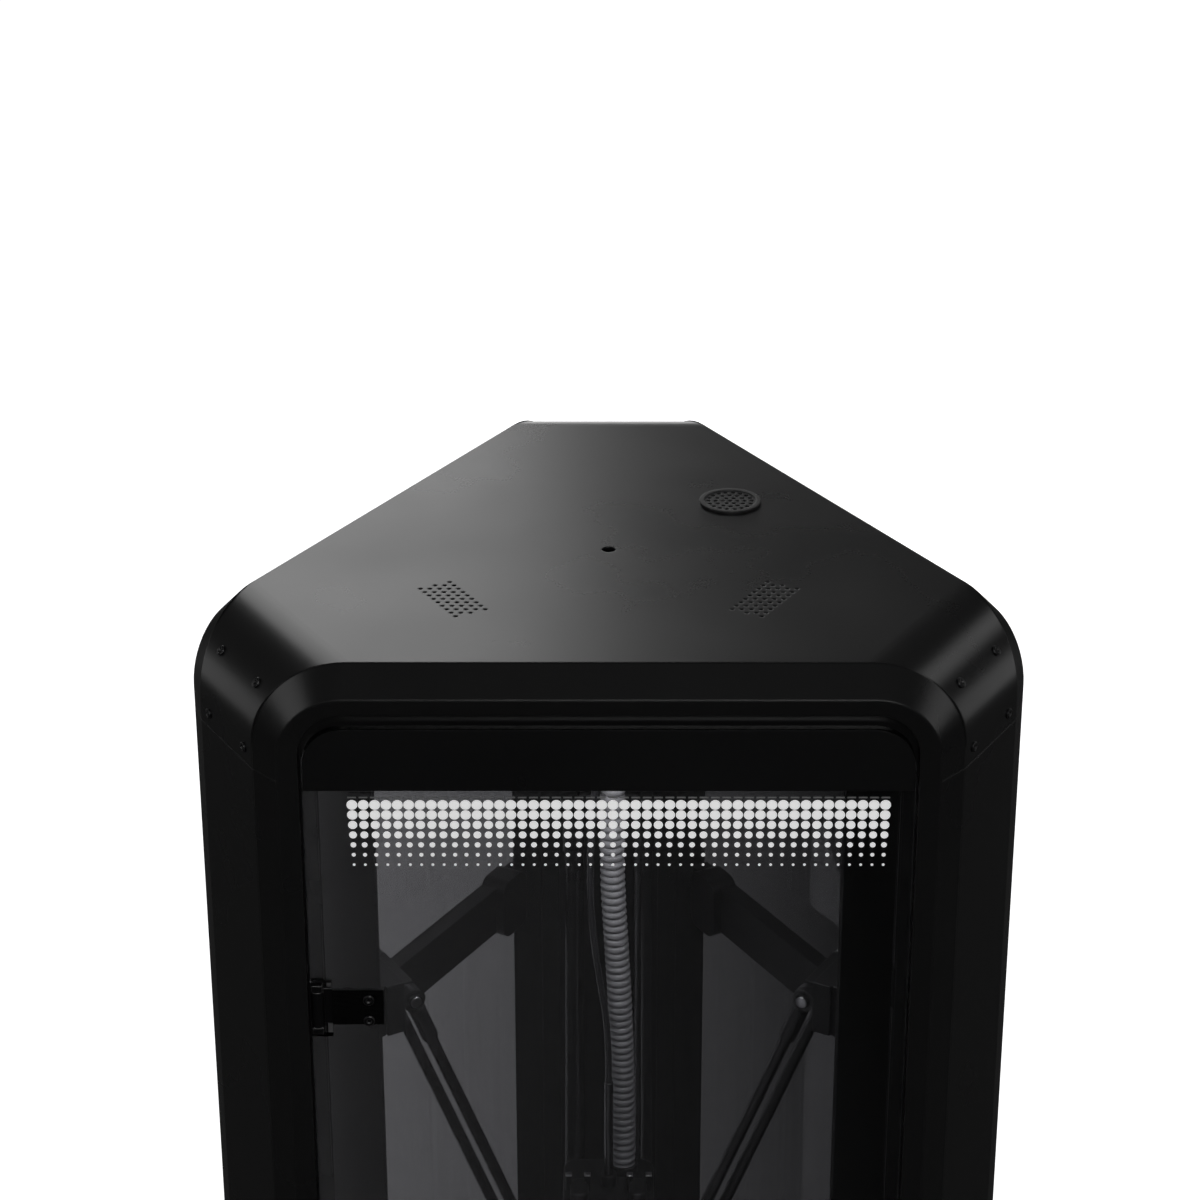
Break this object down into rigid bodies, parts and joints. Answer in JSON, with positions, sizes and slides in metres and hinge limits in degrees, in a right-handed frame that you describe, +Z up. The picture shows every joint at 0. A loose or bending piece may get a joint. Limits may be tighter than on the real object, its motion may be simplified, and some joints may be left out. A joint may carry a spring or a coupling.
{
  "type": "delta printer",
  "caption": "Enclosed delta 3D printer: three-cornered cabinet, glass door and side windows, belt-driven carriages, arms, print head and round heated bed.",
  "frame": {"origin": "on the floor, in the middle of the overall box", "axes": "+Z up, -Y towards the door, +X to the right seen from the front"},
  "size_m": [0.456, 0.412, 0.8426],
  "materials": {
    "black_sheet": "satin powder coat",
    "grey_sheet": "matte powder coat",
    "black_steel": "black oxide",
    "dark_plastic": "fine moulded texture",
    "tinted_glass": "tinted clear",
    "screen_glass": "gloss",
    "seal_rubber": "matte",
    "belt_rubber": "toothed belt",
    "pulley_metal": "machined",
    "bare_metal": "bare",
    "bright_steel": "ground",
    "arm_carbon": "carbon fibre tube",
    "board_green": "solder mask",
    "lamp_white": "diffuser",
    "hose_plastic": "corrugated, translucent grey",
    "tube_plastic": "smoke grey",
    "plate_coating": "textured coating"
  },
  "bodies": {
    "enclosure": {"column_left": "black_sheet", "belt_left": "belt_rubber", "column_right": "black_sheet", "belt_right": "belt_rubber", "column_rear": "black_sheet", "belt_rear": "belt_rubber", "frame_front": "black_sheet", "frame_left": "black_sheet", "frame_right": "black_sheet", "top_cap": "black_sheet", "cap_screws": "black_steel", "top_grille": "dark_plastic", "side_windows": "tinted_glass", "glass_seals": "seal_rubber", "tower_covers": "grey_sheet", "base_shell": "black_sheet", "base_tray": "grey_sheet", "rubber_feet": "seal_rubber", "touch_screen": "screen_glass", "power_inlet": "dark_plastic", "power_supply": "bare_metal", "control_board": "board_green", "ceiling_panel": "grey_sheet", "side_rails": "dark_plastic", "led_bars": "lamp_white", "guide_rods": "bright_steel", "tower_motors": "bare_metal", "idler_brackets": "bare_metal", "door_hinges": "black_steel", "heated_bed": "bare_metal"},
    "door": {"door_glass": "tinted_glass", "hinge_leaves": "black_steel", "door_handle": "black_sheet", "handle_screws": "black_steel"},
    "print_head": {"effector_plate": "dark_plastic", "hotend": "bare_metal", "head_housing": "dark_plastic", "feed_motor": "bare_metal", "head_lid": "dark_plastic", "tube_sleeve": "bright_steel", "air_hose": "hose_plastic", "filament_tube": "tube_plastic"},
    "fan": {"fan_rotor": "dark_plastic"},
    "drive_roller": {"drive_roller": "pulley_metal"},
    "pinch_roller": {"pinch_roller": "pulley_metal"},
    "build_plate": {"build_plate": "plate_coating"},
    "rocker": {"rocker_switch": "dark_plastic"},
    "carriage_rear": {"carriage_rear": "dark_plastic", "arms_rear": "arm_carbon"},
    "drive_rear": {"drive_pulley_rear": "pulley_metal"},
    "idler_rear": {"idler_pulley_rear": "pulley_metal"},
    "carriage_left": {"carriage_left": "dark_plastic", "arms_left": "arm_carbon"},
    "drive_left": {"drive_pulley_left": "pulley_metal"},
    "idler_left": {"idler_pulley_left": "pulley_metal"},
    "carriage_right": {"carriage_right": "dark_plastic", "arms_right": "arm_carbon"},
    "drive_right": {"drive_pulley_right": "pulley_metal"},
    "idler_right": {"idler_pulley_right": "pulley_metal"}
  },
  "joints": [
    {"name": "door_swing", "type": "hinge", "parent": "enclosure", "child": "door", "pos_m": [-0.1585, -0.188, 0.438], "axis": [0, 0, -1], "range_deg": [0, 100]},
    {"name": "head_lift", "type": "slide", "parent": "enclosure", "child": "print_head", "axis": [0, 0, 1], "range_m": [-0.148, 0.105], "deforming": ["air_hose", "filament_tube"]},
    {"name": "fan_spin", "type": "hinge", "parent": "print_head", "child": "fan", "pos_m": [0, -0.053, 0.352], "axis": [0, -1, 0], "continuous": true},
    {"name": "feed_turn", "type": "hinge", "parent": "print_head", "child": "drive_roller", "pos_m": [0.0064, -0.035, 0.386], "axis": [0, -1, 0], "continuous": true},
    {"name": "pinch_turn", "type": "hinge", "parent": "print_head", "child": "pinch_roller", "pos_m": [-0.0064, -0.035, 0.386], "axis": [0, -1, 0], "continuous": true},
    {"name": "plate_lift", "type": "slide", "parent": "enclosure", "child": "build_plate", "axis": [0, 0, 1], "range_m": [0, 0.03]},
    {"name": "rocker_press", "type": "hinge", "parent": "enclosure", "child": "rocker", "pos_m": [0, 0.202, 0.08], "axis": [1, 0, 0], "range_deg": [0, 14]},
    {"name": "carriage_rear_slide", "type": "slide", "parent": "enclosure", "child": "carriage_rear", "axis": [0, 0, 1], "range_m": [-0.148, 0.105]},
    {"name": "drive_rear_turn", "type": "hinge", "parent": "enclosure", "child": "drive_rear", "pos_m": [0, 0.134, 0.08835], "axis": [1, 0, 0], "range_deg": [-946, 1333]},
    {"name": "idler_rear_turn", "type": "hinge", "parent": "enclosure", "child": "idler_rear", "pos_m": [0, 0.134, 0.772], "axis": [1, 0, 0], "range_deg": [-946, 1333]},
    {"name": "carriage_left_slide", "type": "slide", "parent": "enclosure", "child": "carriage_left", "axis": [0, 0, 1], "range_m": [-0.148, 0.105]},
    {"name": "drive_left_turn", "type": "hinge", "parent": "enclosure", "child": "drive_left", "pos_m": [-0.14463, -0.1165, 0.08835], "axis": [-0.5, 0.866, 0], "range_deg": [-946, 1333]},
    {"name": "idler_left_turn", "type": "hinge", "parent": "enclosure", "child": "idler_left", "pos_m": [-0.14463, -0.1165, 0.772], "axis": [-0.5, 0.866, 0], "range_deg": [-946, 1333]},
    {"name": "carriage_right_slide", "type": "slide", "parent": "enclosure", "child": "carriage_right", "axis": [0, 0, 1], "range_m": [-0.148, 0.105]},
    {"name": "drive_right_turn", "type": "hinge", "parent": "enclosure", "child": "drive_right", "pos_m": [0.14463, -0.1165, 0.08835], "axis": [-0.5, -0.866, 0], "range_deg": [-946, 1333]},
    {"name": "idler_right_turn", "type": "hinge", "parent": "enclosure", "child": "idler_right", "pos_m": [0.14463, -0.1165, 0.772], "axis": [-0.5, -0.866, 0], "range_deg": [-946, 1333]}
  ],
  "couplings": [
    {"joint": "drive_rear_turn", "follows": "head_lift", "rad_per_m": -157.08},
    {"joint": "idler_rear_turn", "follows": "head_lift", "rad_per_m": -157.08},
    {"joint": "carriage_rear_slide", "follows": "head_lift", "ratio": 1},
    {"joint": "drive_left_turn", "follows": "head_lift", "rad_per_m": -157.08},
    {"joint": "idler_left_turn", "follows": "head_lift", "rad_per_m": -157.08},
    {"joint": "carriage_left_slide", "follows": "head_lift", "ratio": 1},
    {"joint": "drive_right_turn", "follows": "head_lift", "rad_per_m": -157.08},
    {"joint": "idler_right_turn", "follows": "head_lift", "rad_per_m": -157.08},
    {"joint": "carriage_right_slide", "follows": "head_lift", "ratio": 1}
  ]
}
